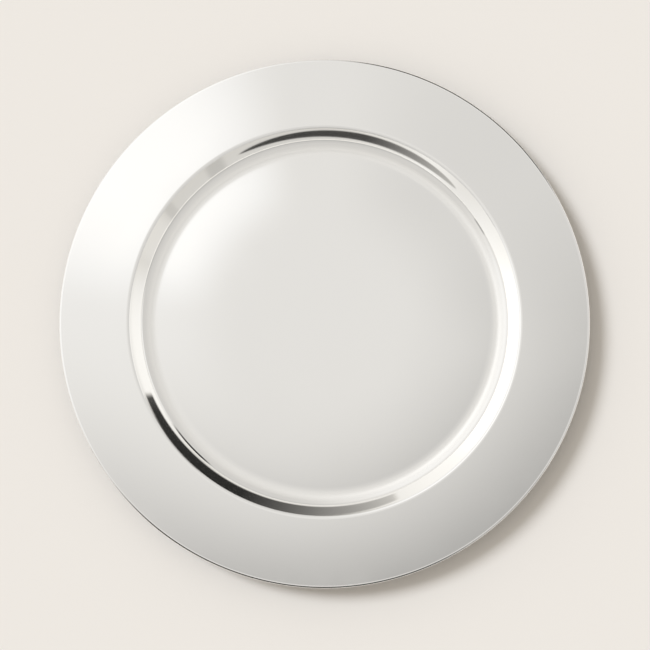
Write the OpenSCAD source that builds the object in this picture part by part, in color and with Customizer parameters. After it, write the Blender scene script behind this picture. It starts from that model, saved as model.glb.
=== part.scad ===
// Round charger plate: a polished sheet pressed into a flat-floored well and a wide rim,
// with its edge rolled under and over a wire, standing on bumper feet.
// Millimetres, +Z up, origin on the table under the middle of the plate.

/* [Sheet] */
// Outside diameter over the rolled edge
plate_d = 330; // [290:1:380]
// Thickness of the pressed sheet
sheet_t = 0.8; // [0.5:0.1:1.2]

/* [Well] */
// Diameter of the well where the rim starts
well_d = 249; // [200:1:275]
// Depth of the well, from the start of the rim down to the floor
well_depth = 13; // [9:0.5:24]
// Slope of the well's wall, in degrees above level
wall_slope = 53; // [35:1:66]
// Radius of the hollow bend from the floor to the wall, on the polished side
cove_r = 13.5; // [4:0.5:20]
// Radius of the rounded bend from the wall to the rim, on the polished side
shoulder_r = 5; // [2:0.25:9]

/* [Rim] */
// Rise of the rim towards its edge, in degrees above level
rim_slope = 1; // [0:0.25:6]
// Turn of the rolled edge around its wire, in degrees
roll_turn = 285; // [240:5:290]
// Diameter of the wire inside the rolled edge
wire_d = 1.6; // [1:0.1:3]
// Gap all round between the wire and the roll
wire_clearance = 0.05; // [0.02:0.01:0.1]
// Gap between the two cut ends of the wire
wire_end_gap = 1; // [0.5:0.25:4]

/* [Feet] */
// Number of bumper feet
foot_count = 4; // [3:1:6]
// Diameter of a bumper foot
foot_d = 10; // [6:0.5:16]
// Height of a bumper foot
foot_h = 1.6; // [1:0.1:4]
// Rounding of a bumper foot's lower edge
foot_edge_r = 0.6; // [0.2:0.1:0.9]
// Distance from the edge of the flat floor to the middle of a foot
foot_inset = 14; // [9:0.5:40]

/* [Hidden] */
$fn = 180;
arc_step = 4; // degrees between two points of a bend

// Heights and radii of the polished side
floor_z = foot_h + sheet_t;
rim_start = [well_d / 2, floor_z + well_depth];
shoulder_c = rim_start - shoulder_r * ray(90 + rim_slope);
wall_top = shoulder_c + shoulder_r * ray(90 + wall_slope);
wall_rise = wall_top[1] - floor_z - cove_r * (1 - cos(wall_slope));
floor_r = wall_top[0] - wall_rise / tan(wall_slope) - cove_r * sin(wall_slope);
cove_c = [floor_r, floor_z + cove_r];

// The roll: its outside touches the plate's outside diameter, and the rim runs into it
roll_r = wire_d / 2 + wire_clearance + sheet_t;
roll_x = plate_d / 2 - roll_r;
rim_end_x = roll_x + roll_r * ray(90 + rim_slope)[0];
rim_end_z = rim_start[1] + (rim_end_x - rim_start[0]) * tan(rim_slope);
roll_c = [roll_x, rim_end_z - roll_r * cos(rim_slope)];

wire_gap_turn = 360 * wire_end_gap / (2 * PI * roll_x);
foot_ring_r = floor_r - foot_inset;
foot_turn = 360 / foot_count;

function foot_name(i) = str("bumper_foot_", i);

function ray(turn) = [cos(turn), sin(turn)];

// Points of a bend about a centre, from one direction to another
function bend(centre, radius, from, to) =
    let (steps = ceil(abs(to - from) / arc_step))
    [for (i = [0 : steps]) centre + radius * ray(from + (to - from) * i / steps)];

// One side of the sheet, from the middle of the floor to the end of the roll
function sheet_side(below) = concat(
    [[0, floor_z - below]],
    bend(cove_c, cove_r + below, -90, wall_slope - 90),
    bend(shoulder_c, shoulder_r - below, 90 + wall_slope, 90 + rim_slope),
    bend(roll_c, roll_r - below, 90 + rim_slope, 90 + rim_slope - roll_turn)
);

function reversed(points) = [for (i = [len(points) - 1 : -1 : 0]) points[i]];

module plate_body() {
    color([0.87, 0.86, 0.84])
        rotate_extrude()
            polygon(concat(sheet_side(0), reversed(sheet_side(sheet_t))));
}

module edge_wire() {
    color([0.56, 0.56, 0.55])
        rotate([0, 0, 90 + wire_gap_turn / 2])
            rotate_extrude(angle = 360 - wire_gap_turn)
                translate(roll_c)
                    circle(d = wire_d);
}

module bumper_foot(i) {
    edge_c = [foot_d / 2 - foot_edge_r, foot_edge_r];
    color([0.80, 0.80, 0.78])
        rotate([0, 0, (i - 1 / 2) * foot_turn])
            translate([foot_ring_r, 0, 0])
                rotate_extrude()
                    polygon(concat(
                        [[0, foot_h], [0, 0]],
                        bend(edge_c, foot_edge_r, -90, 0),
                        [[foot_d / 2, foot_h]]
                    ));
}

plate_body();
edge_wire();
for (i = [1 : foot_count])
    bumper_foot(i);
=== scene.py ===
import math
import bpy
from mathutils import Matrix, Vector


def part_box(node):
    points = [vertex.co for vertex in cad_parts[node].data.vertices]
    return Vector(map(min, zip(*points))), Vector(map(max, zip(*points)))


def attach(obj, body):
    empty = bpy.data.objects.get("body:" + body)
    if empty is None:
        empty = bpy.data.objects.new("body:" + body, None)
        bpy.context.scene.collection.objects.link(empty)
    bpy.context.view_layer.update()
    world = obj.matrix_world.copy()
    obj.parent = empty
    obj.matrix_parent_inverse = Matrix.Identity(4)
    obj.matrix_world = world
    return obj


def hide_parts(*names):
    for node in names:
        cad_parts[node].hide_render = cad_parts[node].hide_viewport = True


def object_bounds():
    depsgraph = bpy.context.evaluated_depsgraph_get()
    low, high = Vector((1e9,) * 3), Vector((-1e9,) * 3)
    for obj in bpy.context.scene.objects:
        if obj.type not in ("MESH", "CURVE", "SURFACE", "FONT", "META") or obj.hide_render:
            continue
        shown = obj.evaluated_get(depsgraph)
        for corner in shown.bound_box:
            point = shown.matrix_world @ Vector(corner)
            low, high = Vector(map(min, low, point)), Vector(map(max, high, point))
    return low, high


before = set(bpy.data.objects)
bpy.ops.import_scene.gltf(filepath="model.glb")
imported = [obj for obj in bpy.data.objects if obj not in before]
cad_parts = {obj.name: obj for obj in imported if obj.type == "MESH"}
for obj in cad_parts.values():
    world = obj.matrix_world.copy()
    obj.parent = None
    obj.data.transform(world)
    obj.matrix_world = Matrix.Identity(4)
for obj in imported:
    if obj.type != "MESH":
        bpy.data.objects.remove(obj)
cadLow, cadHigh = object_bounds()
print("frame loaded:", sorted(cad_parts))


def cosine(degrees):
    return math.cos(math.radians(degrees))


def sine(degrees):
    return math.sin(math.radians(degrees))


# shader maths: a value is one output socket, and + - * / ** on it add Math nodes
class Value:
    def __init__(self, tree, socket=None):
        self.tree = tree
        self.socket = socket

    def node(self, kind, settings, inputs, output=0):
        made = self.tree.nodes.new(kind)
        for name, setting in settings.items():
            setattr(made, name, setting)
        for name, value in inputs.items():
            if isinstance(value, Value):
                self.tree.links.new(value.socket, made.inputs[name])
            else:
                made.inputs[name].default_value = value
        return Value(self.tree, made.outputs[output]) if made.outputs else None

    def maths(self, operation, *terms):
        return self.node("ShaderNodeMath", {"operation": operation}, dict(enumerate(terms)))

    def __add__(self, other):
        return self.maths("ADD", self, other)

    def __radd__(self, other):
        return self.maths("ADD", other, self)

    def __sub__(self, other):
        return self.maths("SUBTRACT", self, other)

    def __rsub__(self, other):
        return self.maths("SUBTRACT", other, self)

    def __mul__(self, other):
        return self.maths("MULTIPLY", self, other)

    def __rmul__(self, other):
        return self.maths("MULTIPLY", other, self)

    def __truediv__(self, other):
        return self.maths("DIVIDE", self, other)

    def __pow__(self, other):
        return self.maths("POWER", self, other)

    def larger(self, other):
        return self.maths("MAXIMUM", self, other)

    def slope(self, kind, low, high):
        inputs = {"Value": self, "From Min": low, "From Max": high}
        return self.node("ShaderNodeMapRange", {"interpolation_type": kind}, inputs)

    def smooth(self, low, high):  # 0 below low, 1 above high, soft between
        return self.slope("SMOOTHSTEP", low, high)

    def straight(self, low, high):  # 0 below low, 1 above high, straight between
        return self.slope("LINEAR", low, high)

    def parts(self):  # x, y and z of a vector
        return [self.node("ShaderNodeSeparateXYZ", {}, {0: self}, axis) for axis in "XYZ"]

    def mix(self, first, second):  # colours, with this value as the share of the second
        settings = {"data_type": "RGBA"}
        return self.node("ShaderNodeMix", settings, {0: self, 6: first, 7: second}, 2)

    def grain(self, scale, detail, roughness):  # noise at this vector
        inputs = {"Vector": self, "Scale": scale, "Detail": detail, "Roughness": roughness}
        return self.node("ShaderNodeTexNoise", {}, inputs, "Fac")

    def bump(self, depth, below=None):  # normals, with this value as the height
        inputs = {"Strength": 1, "Distance": depth, "Height": self}
        if below:
            inputs["Normal"] = below
        return self.node("ShaderNodeBump", {}, inputs)


def newMaterial(name):
    material = bpy.data.materials.new(name)
    material.use_nodes = True
    material.node_tree.nodes.clear()
    return material, Value(material.node_tree)


def surface(start, inputs):  # a Principled shader wired to the material's output
    shader = start.node("ShaderNodeBsdfPrincipled", {}, inputs)
    start.node("ShaderNodeOutputMaterial", {}, {"Surface": shader})


def ringCoords(start):  # object position, its x, y and z, and the distance from the plate's axis
    position = start.node("ShaderNodeTexCoord", {}, {}, "Object")
    x, y, z = position.parts()
    radius = (x * x + y * y) ** 0.5
    return position, x, y, z, radius


def ringNoise(x, y, radius, pitch, drift, detail, roughness):  # drawn out into rings about the plate's axis
    stretched = radius.node("ShaderNodeCombineXYZ", {}, {0: radius / pitch, 1: x * drift, 2: y * drift})
    return stretched.grain(1, detail, roughness)


# camera: above the plate, leaning a little from its near side, framed as in the photograph
shot = {
    "distance": 0.85,             # to the middle of the rim
    "lean": 4.9,                  # degrees off straight down
    "framePx": 650,
    "platePx": 531.2,             # width of the plate in the frame
    "centrePx": (324.4, 319.55),  # middle of the plate in the frame
    "sensor": 36,
}


def addCamera():
    low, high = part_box("edge_wire")
    widestZ = (low.z + high.z) / 2  # the plate is widest at its wire
    perPx = (cadHigh.x - cadLow.x) / shot["platePx"]
    camera = bpy.data.cameras.new("camera")
    camera.sensor_width = shot["sensor"]
    camera.lens = shot["sensor"] * shot["distance"] / (perPx * shot["framePx"])
    holder = bpy.data.objects.new("camera", camera)
    middle = shot["framePx"] / 2
    aside = (middle - shot["centrePx"][0]) * perPx
    along = (shot["centrePx"][1] - middle) * perPx
    back = Vector((0, -sine(shot["lean"]), cosine(shot["lean"]))) * shot["distance"]
    holder.location = Vector((aside, along, widestZ)) + back
    holder.rotation_euler = (math.radians(shot["lean"]), 0, 0)
    bpy.context.collection.objects.link(holder)
    bpy.context.scene.camera = holder
    print("camera lens", round(camera.lens, 1), "mm")


# finish of the polished side: mirror silver with a faint bloom, buffing rings and hairlines
silver = {
    "bright": (0.93, 0.918, 0.892, 1),
    "toned": (0.84, 0.80, 0.73, 1),
    "corner": ((0, 0.006), (0.012, 0.004)),  # toned darker and warmer where the floor turns up into the wall
    "cornerTone": 0.16,
    "cloud": (6, 2, 0.5),                 # noise: scale, detail and roughness
    "cloudShown": (0.5, 0.8),
    "cloudTone": 0.05,
    "gloss": 0.035,
    "bloom": (22, 3, 0.6),
    "bloomShown": (0.35, 0.75),
    "bloomHaze": 0.03,
    "cove": ((0.0012, 0.0045), (0.0115, 0.0093)),  # hazy, because the wheel reaches it least
    "coveHaze": 0.20,
    "buff": (0.0004, 18, 2, 0.7),         # ring noise: pitch, drift, detail and roughness
    "buffHaze": 0.012,
    "buffDepth": 0.00000008,
    "wave": (1 / 0.09, 1, 0.4),           # one swell in 90 mm
    "waveDepth": 0.000006,
    "hair": (1, 1, 0.4),
    "hairTurns": (12, 74, 131),
    "hairStretch": (9, 700, 9),
    "hairShown": (0.73, 0.78),
    "hairHaze": 0.006,
}


def silverPolish(wellRadius, floorRadius):
    material, start = newMaterial("silverPolish")
    position, x, y, z, radius = ringCoords(start)

    def ringMask(name):  # soft ends, past the floor's edge and short of the rim
        inner, outer = silver[name]
        rise = radius.smooth(floorRadius + inner[0], floorRadius + inner[1])
        return rise * (1 - radius.smooth(wellRadius - outer[0], wellRadius - outer[1]))

    cloud = position.grain(*silver["cloud"]).smooth(*silver["cloudShown"])
    tone = ringMask("corner") * silver["cornerTone"] + cloud * silver["cloudTone"]
    colour = tone.mix(silver["bright"], silver["toned"])
    bloom = position.grain(*silver["bloom"]).smooth(*silver["bloomShown"])
    buff = ringNoise(x, y, radius, *silver["buff"])
    rough = silver["gloss"] + bloom * silver["bloomHaze"] + buff * silver["buffHaze"]
    rough = rough + hairlines(position) * silver["hairHaze"] + ringMask("cove") * silver["coveHaze"]
    wave = position.grain(*silver["wave"]).bump(silver["waveDepth"])
    normal = buff.bump(silver["buffDepth"], wave)
    surface(start, {"Base Color": colour, "Metallic": 1, "Roughness": rough, "Normal": normal})
    return material


def hairlines(position):  # thin straight wiping marks in a few directions
    marks = None
    for turn in silver["hairTurns"]:
        inputs = {"Vector": position, "Rotation": (0, 0, math.radians(turn)), "Scale": silver["hairStretch"]}
        line = position.node("ShaderNodeMapping", {"vector_type": "POINT"}, inputs)
        mark = line.grain(*silver["hair"]).smooth(*silver["hairShown"])
        marks = marks.larger(mark) if marks else mark
    return marks


# finish of the underside: the same plate, only brushed, with turning marks
under = {
    "colour": (0.79, 0.78, 0.755, 1),
    "dull": (0.55, 0.535, 0.51, 1),
    "dulling": (0.25, 0.3, 0.4),          # by clouds, bands and rings
    "rough": 0.19,
    "roughening": (0.05, 0.08, 0.10),     # by the same
    "cloud": (14, 3, 0.6),
    "cloudShown": (0.4, 0.75),
    "band": (0.0045, 5, 3, 0.6),          # wider bands where the brush overlapped
    "bandShown": (0.3, 0.7),
    "ring": (0.0007, 14, 2, 0.65),
    "ringDepth": 0.000004,
}


def silverSatin():
    material, start = newMaterial("silverSatin")
    position, x, y, z, radius = ringCoords(start)
    cloud = position.grain(*under["cloud"])
    band = ringNoise(x, y, radius, *under["band"]).smooth(*under["bandShown"])
    ring = ringNoise(x, y, radius, *under["ring"])
    byCloud, byBand, byRing = under["dulling"]
    dulled = cloud.smooth(*under["cloudShown"]) * byCloud + band * byBand + ring * byRing
    colour = dulled.mix(under["colour"], under["dull"])
    byCloud, byBand, byRing = under["roughening"]
    rough = under["rough"] + cloud * byCloud + band * byBand + ring * byRing
    normal = ring.bump(under["ringDepth"])
    surface(start, {"Base Color": colour, "Metallic": 1, "Roughness": rough, "Normal": normal})
    return material


# finish of the wire in the rolled edge: drawn steel with stains
drawnSteel = {
    "clean": (0.50, 0.50, 0.49, 1),
    "stained": (0.34, 0.32, 0.30, 1),
    "stain": (180, 2, 0.6),
    "stainShown": (0.35, 0.8),
    "rough": 0.28,
    "draw": (1, 2, 0.6),
    "drawAcross": 9000,                   # fine across the wire, long along it
    "drawAlong": 12,
    "drawRough": 0.2,
    "drawDepth": 0.000004,
}


def wireSteel():
    material, start = newMaterial("wireSteel")
    position, x, y, z, radius = ringCoords(start)
    across = drawnSteel["drawAcross"]
    drawn = {0: radius * across, 1: z * across, 2: x * drawnSteel["drawAlong"]}
    draw = start.node("ShaderNodeCombineXYZ", {}, drawn).grain(*drawnSteel["draw"])
    stain = position.grain(*drawnSteel["stain"]).smooth(*drawnSteel["stainShown"])
    colour = stain.mix(drawnSteel["clean"], drawnSteel["stained"])
    rough = drawnSteel["rough"] + draw * drawnSteel["drawRough"]
    normal = draw.bump(drawnSteel["drawDepth"])
    surface(start, {"Base Color": colour, "Metallic": 1, "Roughness": rough, "Normal": normal})
    return material


# finish of the feet: soft milky urethane with a faint moulded skin and picked-up dust
milkyUrethane = {
    "milky": (0.80, 0.80, 0.775, 1),
    "dusty": (0.66, 0.645, 0.61, 1),
    "dust": (420, 3, 0.6),
    "dustShown": (0.5, 0.75),
    "rough": 0.34,
    "dustRough": 0.22,
    "skin": (2600, 2, 0.6),
    "skinDepth": 0.00002,
    "ior": 1.49,
    "glow": 0.25,                         # share of light that goes through the skin
    "glowReach": (0.0012, 0.0011, 0.0010),
}


def bumperUrethane():
    material, start = newMaterial("bumperUrethane")
    position = start.node("ShaderNodeTexCoord", {}, {}, "Object")
    dust = position.grain(*milkyUrethane["dust"])
    settled = dust.smooth(*milkyUrethane["dustShown"])
    inputs = {
        "Base Color": settled.mix(milkyUrethane["milky"], milkyUrethane["dusty"]),
        "Roughness": milkyUrethane["rough"] + dust * milkyUrethane["dustRough"],
        "IOR": milkyUrethane["ior"],
        "Subsurface Weight": milkyUrethane["glow"],
        "Subsurface Radius": milkyUrethane["glowReach"],
        "Normal": position.grain(*milkyUrethane["skin"]).bump(milkyUrethane["skinDepth"]),
    }
    surface(start, inputs)
    return material


def deselectAll():
    if bpy.context.object and bpy.context.object.mode != "OBJECT":
        bpy.ops.object.mode_set(mode="OBJECT")
    bpy.ops.object.select_all(action="DESELECT")


def pick(piece):  # the only selected object, and the active one
    deselectAll()
    piece.select_set(True)
    bpy.context.view_layer.objects.active = piece


def startPiece(name):  # takes over the object that an operator has just added
    piece = bpy.context.object
    piece.name = name
    piece.data.name = name
    return piece


def startPoint(name, place):  # a plane merged to one point, left in edit mode to be drawn on from
    deselectAll()
    bpy.ops.mesh.primitive_plane_add(size=plate["guard"], location=place)
    piece = startPiece(name)
    applyPlace(piece)
    bpy.ops.object.mode_set(mode="EDIT")
    bpy.ops.mesh.select_mode(type="VERT")
    bpy.ops.mesh.select_all(action="SELECT")
    bpy.ops.mesh.merge(type="CENTER")
    return piece


def applyPlace(piece):  # the place goes into the mesh, and the object back to the origin
    pick(piece)
    bpy.ops.object.transform_apply(location=True, rotation=True, scale=True)


def applyModifiers(piece):
    pick(piece)
    for modifier in list(piece.modifiers):
        bpy.ops.object.modifier_apply(modifier=modifier.name)


def dress(piece, node):  # the piece stands for its CAD node and rides with the plate
    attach(piece, "root")
    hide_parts(node)


# the pressed sheet, turned from one line: floor, cove, wall, shoulder, rim and rolled edge
rimSlope = 1                      # degrees above level
plate = {
    "sheet": 0.0008,
    "rimRadius": 0.1231,          # where the rim starts
    "floorRings": (0.25, 0.5, 0.75),  # shares of the floor's radius
    "lowerBends": (               # radius, end slope and steps
        (0.200, 0.6, 4), (0.030, 5, 8), (0.0135, 20, 10), (0.0078, 54, 24),
    ),
    "wall": (62, 14),             # steepest slope and steps; its radius takes up the rest of the depth
    "upperBends": ((0.0016, 8, 18), (0.008, rimSlope, 6)),
    "roll": ((16, 6), (285, 32)),  # turns from the rim and their steps
    "guard": 0.00015,             # short edge beside each bend, so that flats stay flat
    "steps": 360,                 # round the plate
    "merge": 0.000002,
    "smoothBelow": 35,            # degrees between faces
}


def ray(degrees):
    return Vector((cosine(degrees), 0, sine(degrees)))


def lineEnd():
    bpy.context.object.update_from_editmode()
    return next(v.co.copy() for v in bpy.context.object.data.vertices if v.select)


def lineTo(point):  # draws the line on from the selected end
    bpy.ops.mesh.extrude_vertices_move(TRANSFORM_OT_translate={"value": Vector(point) - lineEnd()})


def bendRound(centre, degrees, steps):  # positive degrees turn from +X towards +Z
    axis = (0, 1, 0) if degrees > 0 else (0, -1, 0)  # spin turns clockwise about its axis
    bpy.ops.mesh.spin(steps=steps, angle=math.radians(abs(degrees)), center=centre, axis=axis)


def bendFrom(slope, toSlope, radius, steps):  # carries the line on in a bend that starts along its slope
    upward = 1 if toSlope > slope else -1
    centre = lineEnd() + radius * ray(slope + 90 * upward)
    bendRound(centre, toSlope - slope, steps)


def bendsSize(slope, bends):  # run and rise of a row of bends
    run = rise = 0
    for radius, toSlope, steps in bends:
        run += radius * abs(sine(toSlope) - sine(slope))
        rise += radius * abs(cosine(toSlope) - cosine(slope))
        slope = toSlope
    return run, rise


def plateShape():  # where the line starts and ends, from the frame and the sizes above
    low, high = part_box("plate_body")
    wireLow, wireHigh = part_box("edge_wire")
    wireRadius = (wireHigh.z - wireLow.z) / 2
    rollCentre = Vector((wireHigh.x - wireRadius, 0, wireLow.z + wireRadius))
    rimEnd = rollCentre + (high.x - rollCentre.x) * ray(90 + rimSlope)
    rimRise = (rimEnd.x - plate["rimRadius"]) * math.tan(math.radians(rimSlope))
    rimStart = Vector((plate["rimRadius"], 0, rimEnd.z - rimRise))
    floorZ = low.z + plate["sheet"]
    coveSlope = plate["lowerBends"][-1][1]
    steepest, wallSteps = plate["wall"]
    lowerRun, lowerRise = bendsSize(0, plate["lowerBends"])
    upperRun, upperRise = bendsSize(steepest, plate["upperBends"])
    unitRun, unitRise = bendsSize(coveSlope, [(1, steepest, wallSteps)])
    wallRadius = (rimStart.z - floorZ - lowerRise - upperRise) / unitRise
    wide = lowerRun + upperRun + wallRadius * unitRun
    print("wall radius", round(wallRadius, 4), "floor radius", round(rimStart.x - wide, 4))
    return {
        "floorEdge": Vector((rimStart.x - wide, 0, floorZ)),
        "bends": (*plate["lowerBends"], (wallRadius, steepest, wallSteps), *plate["upperBends"]),
        "rimStart": rimStart,
        "rimEnd": rimEnd,
        "rollCentre": rollCentre,
    }


def drawPlateLine(shape):
    guard = plate["guard"]
    floorEdge = shape["floorEdge"]
    for share in plate["floorRings"]:
        lineTo((floorEdge.x * share, 0, floorEdge.z))
    lineTo(floorEdge - guard * ray(0))
    lineTo(floorEdge)
    slope = 0
    for radius, toSlope, steps in shape["bends"]:
        bendFrom(slope, toSlope, radius, steps)
        slope = toSlope
    lineTo(shape["rimStart"] + guard * ray(rimSlope))
    lineTo(shape["rimStart"].lerp(shape["rimEnd"], 0.5))
    lineTo(shape["rimEnd"] - guard * ray(rimSlope))
    lineTo(shape["rimEnd"])
    turned = 0
    for turn, steps in plate["roll"]:
        bendRound(shape["rollCentre"], turned - turn, steps)
        turned = turn


def addPlate(shape, polish, satin):
    piece = startPoint("plateBody", (0, 0, shape["floorEdge"].z))
    drawPlateLine(shape)
    bpy.ops.mesh.select_all(action="SELECT")
    bpy.ops.mesh.spin(steps=plate["steps"], angle=2 * math.pi, center=(0, 0, 0), axis=(0, 0, 1))
    bpy.ops.mesh.select_all(action="SELECT")
    bpy.ops.mesh.remove_doubles(threshold=plate["merge"])
    bpy.ops.mesh.normals_make_consistent(inside=False)
    bpy.ops.object.mode_set(mode="OBJECT")
    floorFace = min(piece.data.polygons, key=lambda face: face.center.xy.length)
    if floorFace.normal.z < 0:  # the polished side has to face up before the sheet gets its thickness
        piece.data.flip_normals()
    piece.data.materials.append(polish)
    piece.data.materials.append(satin)
    sheet = piece.modifiers.new("sheet", "SOLIDIFY")
    sheet.thickness = plate["sheet"]
    sheet.offset = -1
    sheet.use_even_offset = True
    sheet.material_offset = 1  # the underside and the cut edge are satin
    sheet.material_offset_rim = 1
    applyModifiers(piece)
    bpy.ops.object.shade_smooth_by_angle(angle=math.radians(plate["smoothBelow"]))
    print("plate:", len(piece.data.polygons), "faces")
    return piece


# the wire that the edge is rolled over, with its two cut ends left a little apart
wire = {"sides": 20, "steps": 300, "endGap": 0.001, "smoothBelow": 40}


def addWire(steel):
    deselectAll()
    low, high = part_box("edge_wire")
    radius = (high.z - low.z) / 2
    ringRadius = high.x - radius
    halfGap = wire["endGap"] / ringRadius / 2
    place = (ringRadius * math.sin(halfGap), ringRadius * math.cos(halfGap), (low.z + high.z) / 2)
    turned = (0, math.pi / 2, -halfGap)
    bpy.ops.mesh.primitive_circle_add(
        vertices=wire["sides"], radius=radius, fill_type="NGON", location=place, rotation=turned
    )
    piece = startPiece("edgeWire")
    applyPlace(piece)
    bpy.ops.object.mode_set(mode="EDIT")
    bpy.ops.mesh.select_all(action="SELECT")
    bpy.ops.mesh.spin(  # clockwise, from one end of the gap round to the other
        steps=wire["steps"], angle=2 * (math.pi - halfGap), center=(0, 0, 0), axis=(0, 0, 1)
    )
    bpy.ops.mesh.select_all(action="SELECT")
    bpy.ops.mesh.normals_make_consistent(inside=False)
    bpy.ops.object.mode_set(mode="OBJECT")
    bpy.ops.object.shade_smooth_by_angle(angle=math.radians(wire["smoothBelow"]))
    piece.data.materials.append(steel)
    print("wire:", len(piece.data.polygons), "faces")
    return piece


# a moulded bumper foot: rounded lower edge, shallow dish underneath, thin lip where it sticks on
foot = {
    "sides": 72,
    "edge": 0.0006,               # rounding of the lower edge
    "edgeSteps": 6,
    "lipHeight": 0.00028,
    "lipIn": 0.00035,             # the part below the lip is this much narrower
    "dishIn": 0.0014,
    "dishDepth": 0.00018,
    "dishSlope": 2,               # the dish's side runs in by this many times its depth
    "level": 0.00002,             # faces this close to a height count as lying at it
    "smoothBelow": 50,
}


def selectUnderside(piece, height):  # the faces at this height that look straight down
    bpy.ops.mesh.select_all(action="DESELECT")
    bpy.ops.object.mode_set(mode="OBJECT")
    for face in piece.data.polygons:
        face.select = abs(face.center.z - height) < foot["level"] and face.normal.z < -0.999
    bpy.ops.object.mode_set(mode="EDIT")


def addFirstFoot(node, urethane):
    deselectAll()
    low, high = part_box(node)
    radius = (high.x - low.x) / 2
    middle = (low + high) / 2
    lip = foot["lipHeight"]
    bpy.ops.mesh.primitive_cylinder_add(
        vertices=foot["sides"], radius=radius, depth=lip,
        location=(middle.x, middle.y, high.z - lip / 2), end_fill_type="NGON"
    )
    piece = startPiece("bumperFoot1")
    applyPlace(piece)
    bpy.ops.object.mode_set(mode="EDIT")
    bpy.ops.mesh.select_mode(type="FACE")
    selectUnderside(piece, high.z - lip)
    bpy.ops.mesh.inset(thickness=foot["lipIn"], depth=0)
    drop = high.z - low.z - lip
    bpy.ops.mesh.extrude_region_move(TRANSFORM_OT_translate={"value": (0, 0, -drop)})
    bpy.ops.mesh.bevel(offset=foot["edge"], segments=foot["edgeSteps"], profile=0.5, affect="EDGES")
    selectUnderside(piece, low.z)
    bpy.ops.mesh.inset(thickness=foot["dishIn"], depth=0)
    bpy.ops.mesh.inset(thickness=foot["dishDepth"] * foot["dishSlope"], depth=-foot["dishDepth"])
    bpy.ops.object.mode_set(mode="OBJECT")
    bpy.ops.object.shade_smooth_by_angle(angle=math.radians(foot["smoothBelow"]))
    piece.data.materials.append(urethane)
    return piece


def addFeet(urethane):
    nodes = sorted(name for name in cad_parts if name.startswith("bumper_foot_"))
    first = addFirstFoot(nodes[0], urethane)
    feet = [first]
    firstLow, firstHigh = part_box(nodes[0])
    for number, node in enumerate(nodes[1:], 2):
        low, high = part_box(node)
        pick(first)
        bpy.ops.object.duplicate()  # the copy has its own mesh
        piece = startPiece("bumperFoot" + str(number))
        piece.location = (low + high) / 2 - (firstLow + firstHigh) / 2
        applyPlace(piece)
        feet.append(piece)
    for piece, node in zip(feet, nodes):
        dress(piece, node)
    print("feet:", len(feet), "each", len(first.data.polygons), "faces")


# directions in the studio: x, y and z of a ray, away for its x and y together, and turns in degrees
def awayFrom(x, y):  # kept off 0, so that it can be divided by
    return (x * x + y * y + 0.000001) ** 0.5


def facing(x, y, away, turn):  # cosine of the turn away from a direction
    return (x * cosine(turn) + y * sine(turn)) / away


def aimed(x, y, away, turn, edges):  # 0 further round than the first edge, 1 nearer than the second
    return facing(x, y, away, turn).smooth(cosine(edges[0]), cosine(edges[1]))


# the studio that the metal mirrors: pale ceiling, bright window side, dim far side, dark gaps low down
studio = {
    "ceiling": 0.825,
    "walls": 0.69,
    "wallsReach": (0.10, 0.75),                        # from the ceiling's middle out to the walls
    "lean": 4.9,                                       # the ceiling's middle is off straight up by this much
    "nearTop": (0.157, 0.18),                          # where the patches on the ceiling end
    "topEdge": (0.19, 0.45),
    "box": {"turn": 138, "edges": (39, 3), "reach": (0.072, 0.122), "light": 0.235},
    "shade": {"turn": 287, "edges": (112, 0), "reach": (0.047, 0.246), "light": -0.66},
    "dimSide": {"turn": 38, "edges": (50, 0), "reach": (0.056, 0.118), "light": -0.089},
    "leftSide": {"turn": 205, "edges": (105, 0), "reach": (0.056, 0.118), "light": 0.075},
    "window": {"turn": 150, "edges": (75, 22), "reach": (0.17, 0.27), "light": 0.33},
    "farFoot": {"turn": 300, "edges": (78, 25), "reach": (0.75, 1.0), "light": -0.08},
    "windowLow": {"turn": 190, "edges": (75, 20), "reach": (0.50, 0.88), "light": 0.03},
    "windowFoot": {"turn": 185, "edges": (95, 30), "reach": (0.70, 0.90), "light": 0.21},
    "card": {"turn": 17, "edges": (36, 0), "reach": (0.85, 0.94), "light": 0.30},
    "lowCard": {"turn": 19, "edges": (30, 8), "reach": (0.945, 0.975), "light": 0.34},
    "dimBelow": 0.25,                                  # the room is dimmer towards the table
    "dimming": 0.40,
    "sill": {"edges": (85, 45), "heights": (0.10, 0.50), "dimming": 0.14},  # and less so under the window
    "tint": (1.0, 0.99, 0.973, 1),
    "tintFades": (0.82, 1.0),                          # the brightest light is white
}
fill = {"soft": 0.65, "towards": 150, "lean": 0.5, "tint": (1.0, 0.935, 0.825, 1)}
backdropColour = (0.87, 0.845, 0.815, 1)


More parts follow.
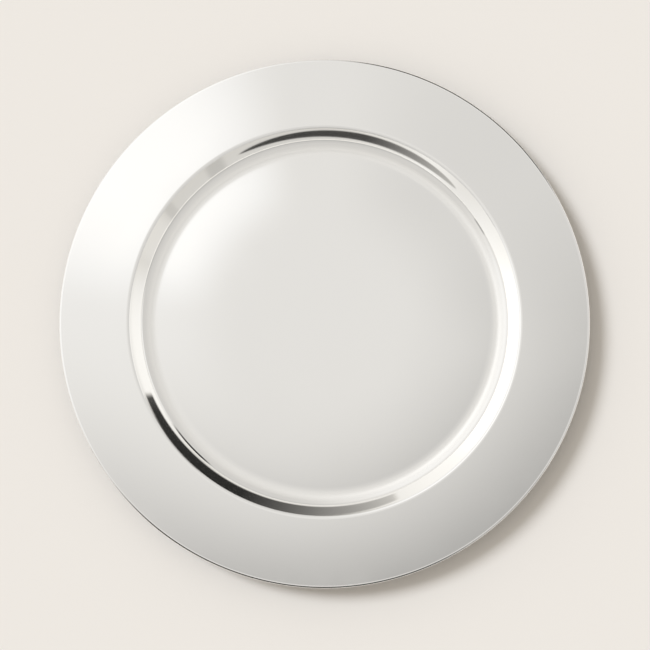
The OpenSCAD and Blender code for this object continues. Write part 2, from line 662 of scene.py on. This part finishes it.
def mirroredLight(start, x, y, z):
    away = awayFrom(x, y)                              # sine of the angle off straight up
    overY = y * cosine(studio["lean"]) - z * sine(studio["lean"])
    overAway = awayFrom(x, overY)                      # the same, off the ceiling's middle

    def patch(name, leaning):  # one soft patch of light or dark on the studio's inside
        shape = studio[name]
        across, off = (overY, overAway) if leaning else (y, away)
        wide = aimed(x, across, off, shape["turn"], shape["edges"])
        return wide * off.smooth(*shape["reach"]) * shape["light"]

    nearTop = 1 - overAway.smooth(*studio["nearTop"])
    topEdge = 1 - overAway.smooth(*studio["topEdge"])
    light = studio["ceiling"] - overAway.smooth(*studio["wallsReach"]) * (studio["ceiling"] - studio["walls"])
    light = light + patch("box", True) * topEdge + patch("shade", True) * nearTop
    light = light + patch("dimSide", True) * nearTop + patch("leftSide", True) * topEdge
    light = light + patch("window", True) + patch("windowLow", False) + patch("farFoot", False)

    # some patches show only in the first mirror, and others only from the second on:
    # the wall mirrors those by way of the floor
    mirrors = start.node("ShaderNodeLightPath", {}, {}, "Glossy Depth")
    twice = mirrors.maths("GREATER_THAN", mirrors, 1.5)
    once = 1 - twice
    low = patch("windowFoot", False) + patch("card", False) + postLight(x, y, away) + overhead(x, y, z, away)
    light = light + low * twice
    light = light * (1 - darkGaps(x, y, z, away) * twice)
    light = light * (1 - darkSlits(x, y, z, away) * once)
    sill = studio["sill"]
    underWindow = aimed(x, y, away, studio["window"]["turn"], sill["edges"])
    dimmed = (1 - z.smooth(0, studio["dimBelow"])) * (1 - underWindow) * studio["dimming"]
    dimmed = dimmed + (1 - z.smooth(*sill["heights"])) * underWindow * sill["dimming"]
    light = light * (1 - dimmed * once)
    return light + patch("lowCard", False) * once


def buildStudio():
    world = bpy.data.worlds.new("studio")
    bpy.context.scene.world = world
    world.use_nodes = True
    world.node_tree.nodes.clear()
    start = Value(world.node_tree)
    x, y, z = start.node("ShaderNodeTexCoord", {}, {}, "Generated").parts()
    light = mirroredLight(start, x, y, z)
    tint = light.smooth(*studio["tintFades"]).mix(studio["tint"], (1, 1, 1, 1))
    lean = (x * cosine(fill["towards"]) + y * sine(fill["towards"])) * fill["lean"] + 1
    plain = start.node("ShaderNodeBackground", {}, {"Color": fill["tint"], "Strength": lean * fill["soft"]})
    mirrored = start.node("ShaderNodeBackground", {}, {"Color": tint, "Strength": light})
    backdrop = start.node("ShaderNodeBackground", {}, {"Color": backdropColour, "Strength": 1})
    glossy = start.node("ShaderNodeLightPath", {}, {}, "Is Glossy Ray")
    camera = start.node("ShaderNodeLightPath", {}, {}, "Is Camera Ray")
    lit = start.node("ShaderNodeMixShader", {}, {0: glossy, 1: plain, 2: mirrored})
    seen = start.node("ShaderNodeMixShader", {}, {0: camera, 1: lit, 2: backdrop})
    start.node("ShaderNodeOutputWorld", {}, {"Surface": seen})
    print("studio ready")


# the room low down, as the wall mirrors it: heights are sines of the angle above the table
backGap = {
    "from": 27.5, "to": 110.5, "endSoft": (-0.01, 0.03),
    "foot": 0.269,
    "top": 0.53, "crown": 72.5, "arch": 0.36,     # highest at the crown, lower by the arch 90 degrees away
    "darkest": 50, "dark": (0.25, 0.96),          # clear to dark, by the cosine of the turn from the darkest
    "depth": 0.965,
}
frontGap = {
    "turn": 260.5, "edge": 39.2,
    "middle": 0.227, "sink": 0.013, "tilt": 0.010,  # its middle height sinks to its ends and tilts along it
    "tall": 0.0815, "lop": 0.17, "blunt": 0.4,    # lower by the lop's share 90 degrees on from its middle
    "darkest": 285, "dark": (0.1, 0.88),
    "depth": 0.915,
}
slits = ((47, (9, 4), 0.34, 0.97), (207, (3.5, 2), 0.30, 0.40))  # turn, edges, top and darkness
posts = {
    "between": 0.12,                              # light between the posts
    "full": 0.3,                                  # share of a post's half width that has its full light
    "set": (                                      # turn, half width and light
        (308.3, 4.5, -0.14), (328.5, 2.5, -0.09), (338.5, 9, 0.11),
        (115, 26, -0.15), (207, 26, -0.15),
    ),
}
topLight = {"heights": (0.75, 0.90), "light": 0.26, "leastTurn": 303, "leastEdges": (52, 25), "less": 0.22}
edgeSoft = 0.015


def between(z, low, high):
    return (z - low).smooth(-edgeSoft, edgeSoft) * (high - z).smooth(-edgeSoft, edgeSoft)


def postLight(x, y, away):
    total = posts["between"]
    for turn, half, light in posts["set"]:
        total = total + aimed(x, y, away, turn, (half, half * posts["full"])) * light
    return total


def overhead(x, y, z, away):  # least on the far side
    least = aimed(x, y, away, topLight["leastTurn"], topLight["leastEdges"])
    return z.smooth(*topLight["heights"]) * (topLight["light"] - least * topLight["less"])


def darkGaps(x, y, z, away):
    pastStart = facing(x, y, away, backGap["from"] + 90).smooth(*backGap["endSoft"])
    beforeEnd = facing(x, y, away, backGap["to"] - 90).smooth(*backGap["endSoft"])
    top = backGap["top"] - (1 - facing(x, y, away, backGap["crown"])) * backGap["arch"]
    back = facing(x, y, away, backGap["darkest"]).straight(*backGap["dark"]) * backGap["depth"]
    back = back * pastStart * beforeEnd * between(z, backGap["foot"], top)
    hill = facing(x, y, away, frontGap["turn"]).straight(cosine(frontGap["edge"]), 1) ** frontGap["blunt"]
    aside = facing(x, y, away, frontGap["turn"] + 90)
    middle = frontGap["middle"] - (1 - hill) * frontGap["sink"] + aside * frontGap["tilt"]
    tall = (1 - aside * frontGap["lop"]) * frontGap["tall"]
    half = hill * (tall + edgeSoft) - edgeSoft
    front = facing(x, y, away, frontGap["darkest"]).straight(*frontGap["dark"]) * frontGap["depth"]
    front = front * between(z, middle - half, middle + half)
    return back.larger(front)


def darkSlits(x, y, z, away):
    total = 0
    for turn, edges, top, dark in slits:
        total = total + aimed(x, y, away, turn, edges) * (top - z).smooth(-edgeSoft, edgeSoft) * dark
    return total


# window light that throws the shadow to the right
key = {"turn": 150, "height": 44, "spread": 20, "strength": 1.95, "tint": (0.935, 0.97, 1.0)}


def addKey():
    lamp = bpy.data.lights.new("windowLight", "SUN")
    lamp.energy = key["strength"]
    lamp.angle = math.radians(key["spread"])
    lamp.color = key["tint"]
    holder = bpy.data.objects.new("windowLight", lamp)
    level = cosine(key["height"])
    towards = Vector((cosine(key["turn"]) * level, sine(key["turn"]) * level, sine(key["height"])))
    holder.rotation_euler = towards.to_track_quat("Z", "Y").to_euler()
    holder.visible_glossy = False  # the metal mirrors the studio's window instead
    bpy.context.collection.objects.link(holder)
    print("window light ready")


# plain pale table
table = {"size": 40, "colour": (0.815, 0.795, 0.785, 1), "rough": 0.6, "shine": 0.2}


def addTable():
    deselectAll()
    bpy.ops.mesh.primitive_plane_add(size=table["size"], location=(0, 0, cadLow.z))
    piece = startPiece("table")
    material, start = newMaterial("tableTop")
    inputs = {
        "Base Color": table["colour"],
        "Roughness": table["rough"],
        "Specular IOR Level": table["shine"],
    }
    surface(start, inputs)
    piece.data.materials.append(material)
    print("table ready")


# thin dark cards close round the plate, hidden from the camera, for the dark line in the rolled edge
darkCard = {
    "colour": (0.03, 0.03, 0.03, 1),
    "radius": 0.182,              # of the first card
    "apart": 0.002,
    "foot": 0.011,
    "near": 0.036,                # only what lies this near mirrors them
    "soft": 0.002,
    "full": 0.6,                  # share of a card's half width that is full dark
    "steps": 24,
    "spans": (                    # turns, top and darkness
        (214, 308, 0.036, 0.92), (26, 88, 0.031, 1), (290, 330, 0.040, 0.3),
    ),
}


def cardBlack(name, first, last, top, dark):  # fades out towards the card's ends and top
    material, start = newMaterial(name)
    position, x, y, z, radius = ringCoords(start)
    length = start.node("ShaderNodeLightPath", {}, {}, "Ray Length")
    near = 1 - length.smooth(darkCard["near"] - darkCard["soft"], darkCard["near"])
    half = (last - first) / 2
    ahead = aimed(x, y, radius, first + half, (half, half * darkCard["full"]))
    shown = near * ahead * (1 - z.smooth(top - darkCard["soft"], top)) * dark
    clear = start.node("ShaderNodeBsdfTransparent", {}, {})
    black = start.node("ShaderNodeBsdfDiffuse", {}, {"Color": darkCard["colour"]})
    mixed = start.node("ShaderNodeMixShader", {}, {0: shown, 1: clear, 2: black})
    start.node("ShaderNodeOutputMaterial", {}, {"Surface": mixed})
    return material


def addDarkCards():
    lowest = darkCard["foot"]
    for number, (first, last, top, dark) in enumerate(darkCard["spans"]):
        name = "darkCard" + str(number + 1)
        radius = darkCard["radius"] + number * darkCard["apart"]
        piece = startPoint(name, (cosine(last) * radius, sine(last) * radius, lowest))
        bpy.ops.mesh.extrude_vertices_move(TRANSFORM_OT_translate={"value": (0, 0, top - lowest)})
        bpy.ops.mesh.select_all(action="SELECT")
        turn = math.radians(last - first)
        bpy.ops.mesh.spin(steps=darkCard["steps"], angle=turn, center=(0, 0, 0), axis=(0, 0, 1))
        bpy.ops.object.mode_set(mode="OBJECT")
        piece.data.materials.append(cardBlack(name, first, last, top, dark))
        piece.visible_camera = False
        piece.visible_diffuse = False
        piece.visible_shadow = False
    print("dark cards:", len(darkCard["spans"]))


bpy.context.scene.view_settings.view_transform = "Standard"
addCamera()
sheetShape = plateShape()
body = addPlate(sheetShape, silverPolish(plate["rimRadius"], sheetShape["floorEdge"].x), silverSatin())
dress(body, "plate_body")
dress(addWire(wireSteel()), "edge_wire")
addFeet(bumperUrethane())
buildStudio()
addKey()
addTable()
addDarkCards()
